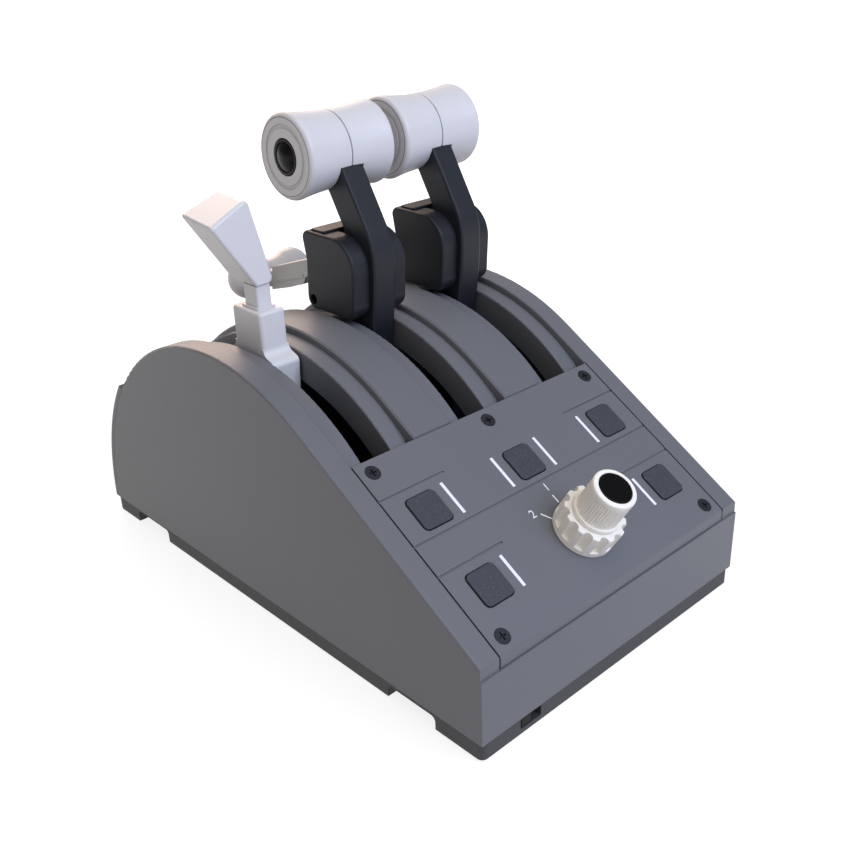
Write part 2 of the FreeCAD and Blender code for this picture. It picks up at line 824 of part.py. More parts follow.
def make_knob_ring():
    body = new_body("selector_ring")
    pad(body, "XY_Plane", [Ring(0, 0, z.ring_radius)], z.ring_high - 0.4, offset=0.4)
    dress(body, "Fillet", 0.8, lambda edge: near(edge.BoundBox.ZMin, z.ring_high.value))
    flute = pocket(body, "XY_Plane", [Ring(0, z.ring_radius + z.flute_radius * 0.1, z.flute_radius)],
                   z.ring_high - z.ring_foot, offset=z.ring_high)
    pattern(body, "PolarPattern", flute, "Z_Axis", z.flute_count)
    pocket(body, "XY_Plane", [Ring(0, 0, z.spindle_radius + z.ring_bore_clear)], z.ring_high, offset=z.ring_high)
    on_knob(body)
    return body


def make_knob_dial():
    body = new_body("dial_knob")
    foot = z.ring_high + 0.3
    pad(body, "XY_Plane", [Ring(0, 0, z.dial_flange)], 1.8, offset=foot)
    pad(body, "XY_Plane", [Ring(0, 0, z.dial_radius)], z.dial_high - foot - 3, offset=foot + 1)
    rib = pocket(body, "XY_Plane", [Ring(0, z.dial_radius + z.rib_radius * 0.4, z.rib_radius)], z.dial_high - foot - 4.8,
                 offset=z.dial_high - 3)
    pattern(body, "PolarPattern", rib, "Z_Axis", z.rib_count)
    pad(body, "XY_Plane", [Ring(0, 0, z.dial_rim)], 3, offset=z.dial_high - 3)
    dress(body, "Fillet", 1.0, lambda edge: near(edge.BoundBox.ZMin, z.dial_high.value))
    pocket(body, "XY_Plane", [Ring(0, 0, z.cap_radius + 0.25)], 6, offset=z.dial_high)
    pocket(body, "XY_Plane", [Ring(0, 0, z.spindle_radius + z.run_clear)], z.dial_high, offset=24.8)
    on_knob(body)
    return body


def make_knob_cap():
    body = new_body("dial_cap")
    pad(body, "XY_Plane", [Ring(0, 0, z.cap_radius)], 4.6, offset=z.dial_high - 4.4)
    dress(body, "Fillet", 0.4, lambda edge: near(edge.BoundBox.ZMin, z.dial_high.value + 0.2))
    on_knob(body)
    return body


def make_mode_switch():
    body = new_body("mode_switch")
    y = -front - 6
    middle = (z.base_lift + z.base_top) / 2 + 0.8
    pad(body, "XZ_Plane", [round_box(-lever_pitch, middle, 12.4, 4.8, 0.6)], 3, offset=y - 0.6, back=True)
    return body


def make_mode_slider():
    body = new_body("mode_slider")
    middle = (z.base_lift + z.base_top) / 2 + 0.8
    pad(body, "XZ_Plane", [round_box(-lever_pitch - 2.6, middle, 5.6, 4.2, 0.5)], 5, offset=-front - 5.9)
    return body


def make_shaft():
    body = new_body("pivot_shaft")
    pad(body, "YZ_Plane", [Ring(pivot_y, z.pivot_high, z.shaft_radius)], bracket_out * 2 + 12, middle=True)
    return body


def make_bracket(label, side):
    body = new_body(label)
    low = z.base_lift + 2.5
    shape = [
        point(pivot_y - 20, low), point(pivot_y + 20, low), point(pivot_y + 20, low + 3),
        point(pivot_y + 9, z.pivot_high + 7), point(pivot_y - 9, z.pivot_high + 7),
        point(pivot_y - 20, low + 3),
    ]
    inside = bracket_out * side
    pad(body, "YZ_Plane", [shape], z.bracket_thick, offset=inside, back=side < 0)
    bore = Ring(pivot_y, z.pivot_high, z.shaft_radius + 0.02)
    pocket(body, "YZ_Plane", [bore], (bracket_out + z.bracket_thick + 1) * 2, middle=True)
    return body


def make_spacers():
    body = new_body("hub_spacers")
    gap = lever_pitch - z.arm_half * 2 - 0.6
    outer = bracket_out - lever_pitch - z.arm_half - 0.4
    rings = [Ring(pivot_y, z.pivot_high, 6.5), Ring(pivot_y, z.pivot_high, z.shaft_radius + 0.05)]
    pad(body, "YZ_Plane", rings, gap, offset=z.arm_half + 0.3)
    pad(body, "YZ_Plane", rings, gap, offset=-z.arm_half - 0.3, back=True)
    pad(body, "YZ_Plane", rings, outer, offset=lever_pitch + z.arm_half + 0.3)
    pad(body, "YZ_Plane", rings, outer, offset=-lever_pitch - z.arm_half - 0.3, back=True)
    return body


def make_main_board():
    body = new_body("main_board")
    pad(body, "XY_Plane", [box(-32, 32, rear - 56, rear - 5.8)], z.board_thick, offset=26)
    return body


def make_usb_socket():
    body = new_body("usb_socket")
    pad(body, "XZ_Plane", [round_box(0, usb_z, 9.0, 3.3, 1.5)], 9, offset=13.5 - rear, back=True)
    pocket(body, "XZ_Plane", [round_box(0, usb_z, 8.3, 2.6, 1.2)], 7, offset=4.5 - rear, back=True)
    return body


def hub_ring():
    return Ring(pivot_y, z.pivot_high, z.hub_radius)


def make_magnet(label, lane):
    body = new_body(label)
    pad(body, "YZ_Plane", [Ring(pivot_y, z.pivot_high + 16, 3)], 2, offset=z.arm_half, back=True)
    place(body, x=lever_pitch * lane)
    return body


def cut_hub(body):
    pocket(body, "YZ_Plane", [Ring(pivot_y, z.pivot_high, z.shaft_radius + z.run_clear)], z.arm_half * 2 + 2,
           middle=True)
    pocket(body, "YZ_Plane", [Ring(pivot_y, z.pivot_high + 16, 3.05)], 2.05, offset=z.arm_half)


def arm_line(behind, along):
    """The tilted upper bar of a throttle arm: its front or rear line, from the bend up."""
    tilt = z.arm_tilt_deg
    low_y, low_z = lever(-2.1, 41.5) if behind else lever(-17.0, 48.5)
    return point(low_y + along * cosine(tilt), low_z + along * sine(tilt))


def make_arm(label, lane):
    body = new_body(label)
    shape = [
        point(pivot_y - z.hub_radius + 0.4, z.pivot_high + 3), lever(-18.8, -15.1), Arc(z.arm_sweep, -1),
        lever(-24.2, 28.0), Arc(z.arm_bend, -1), arm_line(False, -6.36), arm_line(False, 36), arm_line(True, 34.6),
        arm_line(True, 0), lever(1.5, 25.9), lever(2.3, -12.1),
        point(pivot_y + z.hub_radius - 0.4, z.pivot_high + 3),
    ]
    pad(body, "YZ_Plane", [shape], z.arm_half * 2, middle=True)
    dress(body, "Fillet", z.arm_round, lambda edge: arm_edge(edge))
    pad(body, "YZ_Plane", [hub_ring()], z.arm_half * 2, middle=True)
    cut_hub(body)
    place(body, x=lever_pitch * lane)
    return body


def arm_edge(edge):
    box_ = edge.BoundBox
    low, high = hump_top.value - 30, grip_z.value + 3
    return near(box_.XMin, box_.XMax) and box_.ZMin > low and box_.ZMax < high


def pod_outline():
    front_y, rear_y = pivot_y - 13.1, pivot_y + 12.5
    front_z = z.pivot_high + root(pod_under * pod_under - (front_y - pivot_y) * (front_y - pivot_y))
    rear_z = z.pivot_high + root(pod_under * pod_under - (rear_y - pivot_y) * (rear_y - pivot_y))
    return [
        point(pod_front, front_z + 23.2), point(pod_front + 1.1, front_z + 8.2), Arc(7.5, 1),
        point(front_y, front_z), Arc(pod_under, -1), point(rear_y, rear_z), Arc(6.5, 1),
        point(pod_rear, rear_z + 6.7), point(pod_rear - 1.3, rear_z + 25.2), point(pod_rear + 0.8, pod_top - 4),
        Arc(4.4, 1), point(pod_rear - 3.4, pod_top), point(pivot_y - 6.2, pod_top - 0.4), Arc(16, 1),
    ]


def make_pod(label, lane, side):
    body = new_body(label)
    inside = (z.arm_half + z.arm_fit) * side
    pad(body, "YZ_Plane", [pod_outline()], z.pod_half - z.arm_half - z.arm_fit, offset=inside, back=side < 0)
    outer = z.pod_half.value * side
    dress(body, "Fillet", z.pod_round, lambda edge: near(edge.BoundBox.XMin, outer) and near(edge.BoundBox.XMax, outer))
    pocket(body, "YZ_Plane", [Ring(pin_y, pin_z, z.pin_radius + 0.02)], 100, middle=True)
    low, high = latch_front - z.latch_gap, latch_rear + z.latch_gap
    seat = [box(-z.latch_half - z.latch_gap, z.latch_half + z.latch_gap, low, high)]
    pocket(body, "XY_Plane", seat, 5.6, offset=pod_top + 1)
    place(body, x=lever_pitch * lane)
    return body


def make_latch(label, lane):
    body = new_body(label)
    y_mid = (latch_front + latch_rear) / 2
    shape = round_box(0, y_mid, z.latch_half * 2, latch_rear - latch_front, 1.5)
    pad(body, "XY_Plane", [shape], 4.2, offset=pod_top + z.latch_proud - 4.2)
    dress(body, "Fillet", 0.6, lambda edge: near(edge.BoundBox.ZMin, (pod_top + z.latch_proud).value))
    place(body, x=lever_pitch * lane)
    return body


def make_pin(label, lane):
    body = new_body(label)
    pad(body, "YZ_Plane", [Ring(pin_y, pin_z, z.pin_radius)], (z.pod_half - z.pin_recess) * 2, middle=True)
    place(body, x=lever_pitch * lane)
    return body


def make_tongue(label, lane):
    """The flat arm of a reverser lever: it rises behind the pods, then lies along the hump."""
    body = new_body(label)

    def at(behind, over):
        return point(pin_y + behind, pin_z + over)

    shape = [
        at(-5.0, 1.5), at(-0.1, 12.8), at(3.4, 18.2), Arc(1.6, -1), at(6.0, 18.6), at(19.9, 14.3),
        at(48.8, 5.1), Arc(2.4, -1), at(50.9, 2.8), at(52.6, -8.7), at(35.0, -3.7),
        at(26.4, -0.6), Arc(7, -1), at(20.8, 4.6), at(13.4, 8.8), at(6.9, 5.8), at(4.9, -1.2),
    ]
    wide = z.tongue_half * 2
    pad(body, "YZ_Plane", [shape], wide, middle=True)
    pad(body, "YZ_Plane", [Ring(pin_y, pin_z, z.tongue_eye)], wide, middle=True)
    reach, drop, half = z.bar_reach, z.bar_drop, z.tang_half
    tang = [
        at(reach - 14, -drop - half), at(reach + 3, -drop - half), at(reach + 3, half - drop),
        at(reach - 14, half - drop),
    ]
    pad(body, "YZ_Plane", [tang], wide, middle=True)
    bead = [at(22.1, 4.3), at(47.1, -3.3), at(47.5, -1.7), at(22.5, 5.9)]
    pad(body, "YZ_Plane", [bead], wide + z.tongue_bead * 2, middle=True)
    pocket(body, "YZ_Plane", [Ring(pin_y, pin_z, z.pin_radius + z.run_clear)], wide + 2, middle=True)
    place(body, x=lever_pitch * lane)
    return body


def make_bar(label, lane):
    """The dumbbell grip of a reverser lever: two balls and a waist, with a mortise for its tongue."""
    body = new_body(label)
    ball, waist = z.bar_bulb, z.bar_waist
    centre = bar_half - ball
    neck = (centre * centre + waist * waist - ball * ball) / ((ball - waist) * 2)
    meet_x = centre - ball * centre / (ball + neck)
    meet_y = ball * (waist + neck) / (ball + neck)
    shape = [
        point(-bar_half, 0), Arc(ball, -1), point(-meet_x, meet_y), Arc(neck, 1), point(ZERO, waist),
        Arc(neck, 1), point(meet_x, meet_y), Arc(ball, -1), point(bar_half, 0),
    ]
    turn(body, [shape])
    doc.recompute()
    fit = z.arm_fit
    tang = box(-15, fit + 3, -z.tang_half - fit, z.tang_half + fit)
    pocket(body, "YZ_Plane", [tang], (z.tongue_half + fit) * 2, middle=True)
    place(body, x=lever_pitch * lane, y=bar_y, height=bar_z)
    return body


def make_grip(label, lane, side, hollow):
    """Half of a throttle grip: waisted outside, ringed end face, open for the arm inside."""
    body = new_body(label)
    end, rim, waist = grip_half, z.grip_radius, z.grip_waist
    bend = z.grip_rim_round

    def at(along, radius):
        return point(size(along) * side, radius)

    shape = [
        at(z.grip_seam, 0), at(z.grip_seam, waist - 0.3), at(z.grip_seam + 0.3, waist), Arc(150, side),
        at(end - bend, rim), Arc(bend, -side), at(end, rim - bend), at(end, 15.4), at(end - 0.5, 15.3),
        at(end - 0.5, 13.5), at(end, 13.4),
    ]
    if hollow:
        shape += [at(end, z.thumb_bore), at(end - 7, z.thumb_bore), at(end - 7, 0)]
    else:
        shape += [at(end, 0)]
    turn(body, [shape])
    doc.recompute()
    slack = z.arm_fit
    lines = [arm_line(False, 0), arm_line(False, 36), arm_line(True, 34.6), arm_line(True, 0)]
    shift = [(-slack, 0), (-slack, slack), (slack, slack), (slack, 0)]
    hole = [point(y + dy - grip_y, up + dz - grip_z) for (y, up), (dy, dz) in zip(lines, shift)]
    pocket(body, "YZ_Plane", [hole], (z.arm_half + z.arm_fit) * 2, middle=True)
    place(body, x=lever_pitch * lane, y=grip_y, height=grip_z)
    return body


def make_thumb(label, lane, side):
    """A round button in a grip's end: a flat bezel with a dome standing out of it."""
    body = new_body(label)
    end, radius, dome = grip_half, z.thumb_radius, z.thumb_dome

    def at(along, height):
        return point(size(along) * side, height)

    shape = [
        at(end - 5.4, 0), at(end - 5.4, radius), at(end - 0.5, radius), Arc(0.5, -side),
        at(end, radius - 0.5), at(end, dome + 0.2), at(end - 0.4, dome), Arc(12.5, -side), at(end + 1.9, 0.5),
        at(end + 1.9, 0),
    ]
    turn(body, [shape])
    place(body, x=lever_pitch * lane, y=grip_y, height=grip_z)
    return body


def make_brake_arm():
    body = new_body("brake_arm")
    shape = [
        point(pivot_y - z.hub_radius + 0.4, z.pivot_high + 3), point(pivot_y - 9, stem_foot),
        point(pivot_y + 9, stem_foot), point(pivot_y + z.hub_radius - 0.4, z.pivot_high + 3),
    ]
    pad(body, "YZ_Plane", [shape], z.arm_half * 2, middle=True)
    pad(body, "YZ_Plane", [hub_ring()], z.arm_half * 2, middle=True)
    cut_hub(body)
    place(body, x=-lever_pitch)
    return body


def make_brake_stem():
    body = new_body("brake_stem")
    shape = [
        point(pivot_y - 9, stem_foot), lever(-18.2, -32.1), lever(-19.9, -9.1), Arc(3, -1), lever(-17.5, -6.1),
        lever(-15.1, -5.3), Arc(4, 1), point(stem_front, stem_top - 17.7), point(stem_rear, stem_top - 17.2),
        Arc(4, 1), lever(13.3, -5.5), Arc(3, -1), lever(15.7, -8.6), lever(14.5, -32.1),
        point(pivot_y + 9, stem_foot),
    ]
    pad(body, "YZ_Plane", [shape], z.stem_half * 2, middle=True)
    middle = (stem_front + stem_rear) / 2
    block = round_box(0, middle, z.stem_half * 2, stem_rear - stem_front, z.stem_round)
    pad(body, "XY_Plane", [block], z.stem_block, offset=stem_top - z.stem_block)
    dress(body, "Fillet", z.stem_top_round, lambda edge: near(edge.BoundBox.ZMin, stem_top.value))
    collar = [round_box(0, (neck_front + neck_rear) / 2, z.neck_half * 2 + 2.4, neck_rear - neck_front + 2.8, 1.6)]
    pad(body, "XY_Plane", collar, 1.7, offset=stem_top - 0.5)
    rise = z.neck_half * sine(z.head_lean_deg) / cosine(z.head_lean_deg)
    neck_top = head_z - 2 / cosine(z.head_lean_deg)
    neck = [
        point(-z.neck_half, stem_top), point(z.neck_half, stem_top),
        point(z.neck_half, neck_top + rise), point(-z.neck_half, neck_top - rise),
    ]
    pad(body, "XZ_Plane", [neck], neck_rear - neck_front, offset=-neck_front, back=True)
    dress(body, "Fillet", z.neck_round, lambda edge: on_neck(edge))
    place(body, x=-lever_pitch)
    return body


def on_neck(edge):
    box_ = edge.BoundBox
    upright = near(box_.XMin, box_.XMax) and near(box_.YMin, box_.YMax)
    return upright and near(abs(box_.XMin), z.neck_half.value) and box_.ZLength > 5


def make_brake_head():
    """The wedge-shaped head: it leans to the user's left, widens upwards and is soft on its right side."""
    body = new_body("brake_head")
    low, top = size(-2), z.head_long
    side = [
        point(0, low), point(z.head_low_deep, low), point(z.head_set_back + z.head_top_deep, top),
        point(z.head_set_back, top),
    ]
    pad(body, "YZ_Plane", [side], z.head_top_half * 2, middle=True)
    beyond = z.head_top_half + 5
    for way in (-1, 1):
        wedge = [
            point(z.head_low_half * way, low), point(z.head_top_half * way, top),
            point(beyond * way, top + 1), point(beyond * way, low - 1), point(z.head_low_half * way, low - 1),
        ]
        pocket(body, "XZ_Plane", [wedge], (z.head_top_deep + z.head_set_back) * 4, middle=True)
    dress(body, "Fillet", z.head_soft_round, lambda edge: head_side(edge))
    dress(body, "Fillet", z.head_front_round, lambda edge: head_front(edge))
    dress(body, "Fillet", z.head_crisp_round, lambda edge: edge.BoundBox.XMax < 0 and edge.Length > 12)
    place(body, x=-lever_pitch, y=head_y, height=head_z, axis=FreeCAD.Vector(0, -1, 0), angle=z.head_lean_deg)
    return body


def head_side(edge):
    """The two edges of the right side that run from front to rear."""
    box_ = edge.BoundBox
    return near(box_.XMin, box_.XMax) and box_.XMin > 0 and box_.YLength > 15 and box_.ZLength < 1


def head_front(edge):
    """The rim of the front face, but for its left side."""
    box_ = edge.BoundBox
    spot = edge_middle(edge)
    lean = z.head_set_back.value * (spot.z + 2) / (z.head_long.value + 2)
    return near(spot.y, lean, 0.05) and box_.XMax > 0 and box_.YLength < 5


def make_sensor_boards():
    body = new_body("sensor_boards")
    low = z.base_lift + 2.5
    for lane in (-1, 0, 1):
        shape = box(pivot_y - 10, pivot_y + 10, low, 40)
        pad(body, "YZ_Plane", [shape, Ring(pivot_y, z.pivot_high, 7.5)], z.board_thick,
            offset=lever_pitch * lane + z.arm_half + 1)
    return body


parts = [make_housing()]
for lane, word in ((-1, "left"), (0, "middle"), (1, "right")):
    parts.append(make_slot_trim(f"slot_trim_{word}", lane))
parts += [make_rear_cover(), make_base_tray(), make_feet(), make_panel(), make_panel_screws()]
for number, (x, y) in enumerate(key_places(), start=1):
    parts.append(make_key(number, x, y))
parts += [make_panel_board(), make_panel_switches(), make_encoder()]
parts += [make_knob_ring(), make_knob_dial(), make_knob_cap(), make_mode_switch(), make_mode_slider()]
parts += [make_shaft(), make_bracket("bracket_left", -1), make_bracket("bracket_right", 1)]
parts += [make_spacers(), make_main_board(), make_usb_socket(), make_sensor_boards()]
for number, lane in ((1, 0), (2, 1)):
    outer = -1 if number == 1 else 1
    parts.append(make_arm(f"throttle_{number}_arm", lane))
    parts.append(make_magnet(f"throttle_{number}_magnet", lane))
    parts.append(make_pod(f"throttle_{number}_pod_left", lane, -1))
    parts.append(make_pod(f"throttle_{number}_pod_right", lane, 1))
    parts.append(make_latch(f"throttle_{number}_latch", lane))
    parts.append(make_grip(f"throttle_{number}_grip_left", lane, -1, outer < 0))
    parts.append(make_grip(f"throttle_{number}_grip_right", lane, 1, outer > 0))
    parts.append(make_thumb(f"throttle_{number}_thumb_button", lane, outer))
    parts.append(make_pin(f"reverser_{number}_pin", lane))
    parts.append(make_tongue(f"reverser_{number}_tongue", lane))
    parts.append(make_bar(f"reverser_{number}_bar", lane))
parts += [make_brake_arm(), make_magnet("brake_magnet", -1), make_brake_stem(), make_brake_head()]

doc.recompute()
failed = [item for item in doc.Objects if "Invalid" in item.State or "Error" in item.State]
if failed:
    names = [f"{item.Label} in {item.getParentGeoFeatureGroup().Label}" for item in failed]
    raise RuntimeError(f"failed: {names}")
for body in parts:
    if body.Shape.isNull() or not body.Shape.isValid():
        raise RuntimeError(f"{body.Label} has no valid shape")

os.makedirs("parts", exist_ok=True)
for body in parts:
    body.Shape.exportStep(f"parts/{body.Label}.step")
    print(f"{body.Label:32s} {len(body.Shape.Solids)} solid(s) {body.Shape.Volume / 1000:9.2f} cm3")
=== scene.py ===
import math

import bmesh
import bpy
from mathutils import Matrix, Vector


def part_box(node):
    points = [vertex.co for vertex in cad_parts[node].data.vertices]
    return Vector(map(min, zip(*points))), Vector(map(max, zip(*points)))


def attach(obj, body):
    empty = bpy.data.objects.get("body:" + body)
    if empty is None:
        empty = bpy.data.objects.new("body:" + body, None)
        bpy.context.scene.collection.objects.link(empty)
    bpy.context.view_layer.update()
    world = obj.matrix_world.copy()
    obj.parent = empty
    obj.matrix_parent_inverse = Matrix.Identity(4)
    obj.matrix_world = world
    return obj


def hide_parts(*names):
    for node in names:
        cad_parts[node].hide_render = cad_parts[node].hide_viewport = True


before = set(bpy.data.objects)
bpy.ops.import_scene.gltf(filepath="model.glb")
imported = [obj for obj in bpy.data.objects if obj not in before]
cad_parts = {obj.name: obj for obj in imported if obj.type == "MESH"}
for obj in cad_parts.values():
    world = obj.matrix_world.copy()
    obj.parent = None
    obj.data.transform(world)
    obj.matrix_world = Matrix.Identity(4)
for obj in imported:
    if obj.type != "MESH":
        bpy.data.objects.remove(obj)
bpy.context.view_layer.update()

bl_info = {
    "name": "Throttle Quadrant Finish",
    "version": (1, 0, 0),
    "blender": (4, 5, 0),
    "location": "View3D > Sidebar > Quadrant",
    "description": "Dresses the packed throttle quadrant in its moulded plastics, prints and studio",
    "category": "Object",
}

MM = 0.001
GRIP_AXIS = (0.0, 37.9 * MM, 209.8 * MM)  # a point on the line that the grips are turned round
WHITE_ABS = {"rough": 0.42, "grain_mm": 0.7, "grain_deep_mm": 0.008, "edge_mm": 0.3, "drift": 0.012}
ABS_IOR = 1.53
DRIFT_MM = 40  # spots of the slow drift in a moulding's colour
CAPITAL_SHARE = 0.7  # a digit's height as a share of the typeface's size
CORNER_SHARE = 0.12  # the cut corner of a printed stroke as a share of its width
GLOSS_SPREAD = 0.06  # how far a moulding's roughness goes either way with its grain


def linear(code):
    """An sRGB hex colour as linear RGBA."""
    parts = [int(code[place:place + 2], 16) / 255 for place in (1, 3, 5)]
    return tuple(p / 12.92 if p <= 0.04045 else ((p + 0.055) / 1.055) ** 2.4 for p in parts) + (1.0,)


def tint(name, about, code):
    """A colour that a user can change."""
    return bpy.props.FloatVectorProperty(
        name=name, description=about, subtype="COLOR", size=4, min=0.0, max=1.0, default=linear(code))


def length(name, about, metres):
    """A length that a user can change."""
    return bpy.props.FloatProperty(
        name=name, description=about, subtype="DISTANCE", unit="LENGTH", precision=5, min=0.0,
        default=metres)


class QUADRANT_PG_colours(bpy.types.PropertyGroup):
    """Colours of the quadrant's plastics and prints."""
    housing: tint("Housing", "Grey ABS of the housing, cover and panel", "#65676b")
    tray: tint("Base tray", "Dark ABS of the base tray", "#37373a")
    lever: tint("Lever", "Charcoal nylon of the throttle arms and pods", "#1b1e24")
    grip: tint("Grip", "White ABS of the grips, reverser bars and speed brake", "#cfcfd0")
    knob: tint("Knob", "Ivory ABS of the double knob", "#f0ece2")
    key: tint("Key", "Dark pebbled plastic of the push keys", "#363a42")
    ink: tint("Ink", "White pad print on the panel", "#eceef2")
    screw: tint("Screw", "Black oxide steel of the panel screws", "#2b2d33")


class QUADRANT_PG_sizes(bpy.types.PropertyGroup):
    """Sizes of the panel, its prints, the grips' end caps and the speed brake's head."""
    slope: bpy.props.FloatProperty(
        name="Slope", description="Tilt of the control panel", subtype="ANGLE", unit="ROTATION",
        default=math.radians(31.56))
    panel_length: length("Panel length", "Length of the control panel up its slope", 100.9 * MM)
    bar_width: length("Bar width", "Width of a printed bar", 1.6 * MM)
    tick_width: length("Tick width", "Width of a printed dial tick", 0.7 * MM)
    ink_height: length("Ink height", "How far the pad print stands on the panel", 0.03 * MM)
    digit_height: length("Digit height", "Height of a printed digit", 4.2 * MM)
    cap_radius: length("Cap radius", "Radius of the hair line round a grip's end cap", 18.6 * MM)
    # The material paints shade in a ring round this radius for the groove in a cap's face.
    groove_shade_radius: length("Groove radius", "Middle radius of the groove in an end cap", 14.4 * MM)
    head_corner: length("Head corner", "Rounding of the brake head's right-hand corners", 3.8 * MM)
    head_edge: length("Head edge", "Rounding of the brake head's other edges", 1.5 * MM)


def colours():
    """The colours as they are set now."""
    return bpy.context.scene.quadrant_colours


def sizes():
    """The sizes as they are set now."""
    return bpy.context.scene.quadrant_sizes


# ---------------------------------------------------------------- materials

def add(tree, kind, sockets=None, **settings):
    """Adds one node; each socket gets a value or another node's output."""
    made = tree.nodes.new(kind)
    for name, value in settings.items():
        setattr(made, name, value)
    for name, value in (sockets or {}).items():
        if isinstance(value, bpy.types.NodeSocket):
            tree.links.new(value, made.inputs[name])
        else:
            made.inputs[name].default_value = value
    return made


def shade(colour, factor):
    """A colour made darker or lighter by a factor."""
    return tuple(min(1.0, part * factor) for part in colour[:3]) + (1.0,)


def start(name):
    """A new material, its tree, its surface shader and the object's own coordinates."""
    material = bpy.data.materials.new(name)
    material.use_nodes = True
    tree = material.node_tree
    where = add(tree, "ShaderNodeTexCoord").outputs["Object"]
    return material, tree, tree.nodes["Principled BSDF"], where


def two_tones(tree, shader, pattern, low, high):
    """Lets a pattern carry the surface from one colour to another."""
    tones = add(tree, "ShaderNodeMix", {0: pattern, 6: low, 7: high}, data_type="RGBA")
    tree.links.new(tones.outputs[2], shader.inputs["Base Color"])


def mottle(tree, shader, where, spot_mm, low, high):
    """Lets the surface drift slowly between two colours, in spots of a given size."""
    cloud = add(tree, "ShaderNodeTexNoise", {"Vector": where, "Scale": 1 / (spot_mm * MM), "Detail": 3.0})
    two_tones(tree, shader, cloud.outputs[0], low, high)


def uneven_gloss(tree, shader, pattern, low, high):
    """Lets a pattern carry the surface's roughness between two values."""
    rough = add(tree, "ShaderNodeMapRange", {"Value": pattern, "To Min": low, "To Max": high})
    tree.links.new(rough.outputs[0], shader.inputs["Roughness"])


def relief(tree, shader, pattern, deep_mm, normal=None):
    """Raises the surface by a pattern, from its own normal or from a given one."""
    sockets = {"Strength": 1.0, "Distance": deep_mm * MM, "Height": pattern}
    if normal:
        sockets["Normal"] = normal
    bump = add(tree, "ShaderNodeBump", sockets)
    tree.links.new(bump.outputs[0], shader.inputs["Normal"])


def moulded(name, colour, rough, grain_mm, grain_deep_mm, edge_mm=0.25, drift=0.03, gloss=0.5):
    """Moulded plastic. The tool's spark-eroded grain gives a soft, slightly broken highlight.

    The grain has a width and a depth, edge_mm is how far the piece's edges look rounded, drift is the
    share by which its colour wanders, and gloss is how strongly it mirrors what is round it.
    """
    material, tree, shader, where = start(name)
    grain = add(tree, "ShaderNodeTexNoise", {
        "Vector": where, "Scale": 1 / (grain_mm * MM), "Detail": 2.0, "Roughness": 0.55}).outputs[0]
    soft_edge = add(tree, "ShaderNodeBevel", {"Radius": edge_mm * MM}, samples=4).outputs[0]
    relief(tree, shader, grain, grain_deep_mm, soft_edge)
    mottle(tree, shader, where, DRIFT_MM, shade(colour, 1 - drift), shade(colour, 1 + drift))
    uneven_gloss(tree, shader, grain, rough - GLOSS_SPREAD, rough + GLOSS_SPREAD)
    shader.inputs["IOR"].default_value = ABS_IOR
    shader.inputs["Specular IOR Level"].default_value = gloss
    return material


def grip_shell(name, colour):
    """White ABS grip with an end cap: a dark hair line round the cap, and painted shade in a ring for the
    shallow groove in its face.
    """
    line_half = 0.22 * MM
    groove_half = 0.9 * MM
    groove_shade = 0.22  # the groove's painted shade as a share of the line's darkness
    squarely = 0.8  # how squarely a face looks sideways where it belongs to the end cap
    material = moulded(name, colour, **WHITE_ABS)
    tree = material.node_tree
    shader = tree.nodes["Principled BSDF"]
    seat = add(tree, "ShaderNodeTexCoord").outputs
    from_axis = add(tree, "ShaderNodeVectorMath", {
        0: seat["Object"], 1: GRIP_AXIS}, operation="SUBTRACT").outputs[0]
    across = add(tree, "ShaderNodeVectorMath", {
        0: from_axis, 1: (0, 1, 1)}, operation="MULTIPLY").outputs[0]
    radius = add(tree, "ShaderNodeVectorMath", {0: across}, operation="LENGTH").outputs["Value"]
    facing = add(tree, "ShaderNodeVectorMath", {
        0: seat["Normal"], 1: (1, 0, 0)}, operation="DOT_PRODUCT").outputs["Value"]
    sideways = add(tree, "ShaderNodeMath", {0: facing}, operation="ABSOLUTE").outputs[0]
    on_end = add(tree, "ShaderNodeMath", {0: sideways, 1: squarely}, operation="GREATER_THAN").outputs[0]
    line = add(tree, "ShaderNodeMath", {
        0: radius, 1: sizes().cap_radius, 2: line_half}, operation="COMPARE").outputs[0]
    groove = add(tree, "ShaderNodeMath", {
        0: radius, 1: sizes().groove_shade_radius, 2: groove_half}, operation="COMPARE").outputs[0]
    dark_line_and_groove_shade = add(tree, "ShaderNodeMath", {
        0: groove, 1: groove_shade, 2: line}, operation="MULTIPLY_ADD").outputs[0]
    share = add(tree, "ShaderNodeMath", {0: dark_line_and_groove_shade, 1: on_end}, operation="MULTIPLY").outputs[0]
    plain = shader.inputs["Base Color"].links[0].from_socket
    # On the end face only: the hair line is painted dark, and the groove gets painted shade at 0.22 of
    # the line's darkness.
    two_tones(tree, shader, share, plain, shade(colour, 0.3))
    return material


def pebbled(name, colour):
    """Key caps of ABS, moulded with a pebble grain; its tips are painted lighter as a highlight, in
    scattered specks.

    The grain is drawn coarser than the real one, so that it shows.
    """
    material, tree, shader, where = start(name)
    tips = add(tree, "ShaderNodeTexVoronoi", {
        "Vector": where, "Scale": 1 / (1.7 * MM), "Randomness": 0.9}).outputs["Distance"]
    tip = add(tree, "ShaderNodeMapRange", {
        "Value": tips, "From Min": 0.08, "From Max": 0.34, "To Min": 1.0, "To Max": 0.0}).outputs[0]
    pebble = add(tree, "ShaderNodeTexNoise", {
        "Vector": where, "Scale": 1 / (0.9 * MM), "Detail": 3.0}).outputs[0]
    height = add(tree, "ShaderNodeMath", {0: tip, 1: 0.5, 2: pebble}, operation="MULTIPLY_ADD").outputs[0]
    relief(tree, shader, height, 0.1)
    # Painted highlight and shade: the pebbles' tips are made lighter than the cap, and the ground between
    # them darker.
    two_tones(tree, shader, tip, shade(colour, 0.86), shade(colour, 1.5))
    uneven_gloss(tree, shader, pebble, 0.5, 0.68)
    shader.inputs["IOR"].default_value = ABS_IOR
    return material


